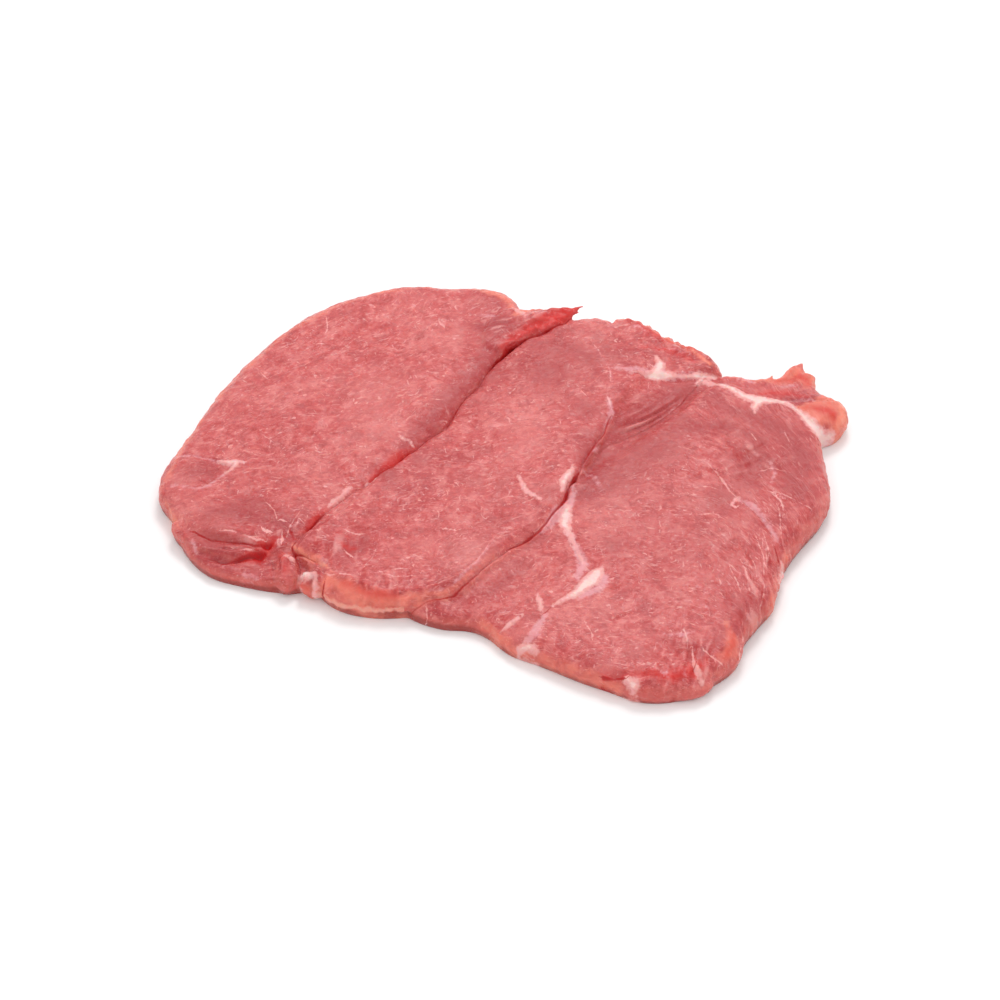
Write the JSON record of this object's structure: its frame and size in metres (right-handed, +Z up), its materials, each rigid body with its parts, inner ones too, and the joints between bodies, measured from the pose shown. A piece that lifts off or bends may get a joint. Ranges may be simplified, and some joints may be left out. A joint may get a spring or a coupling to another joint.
{
  "type": "pork leg steak",
  "caption": "Raw boneless pork leg steak lying flat: lobes of lean overlap like shingles, with rounded edges, fat seams and folded ends. Food prop or kitchen model.",
  "frame": {"origin": "middle of the steak's bounding box, on the surface that it lies on", "axes": "+Z up through the slice's thickness, +X along the steak's length from the left lobe to the right lobe, +Y to its far side"},
  "size_m": [0.23, 0.1886, 0.0142],
  "materials": {
    "raw_lean_pork": "raw lean pork: pink-red muscle with fine grain, paler fat seams and marbling, redder folds and thin orange-red edges, moist and softly glossy"
  },
  "bodies": {
    "root": {"pork_leg_steak": "raw_lean_pork"}
  },
  "joints": []
}
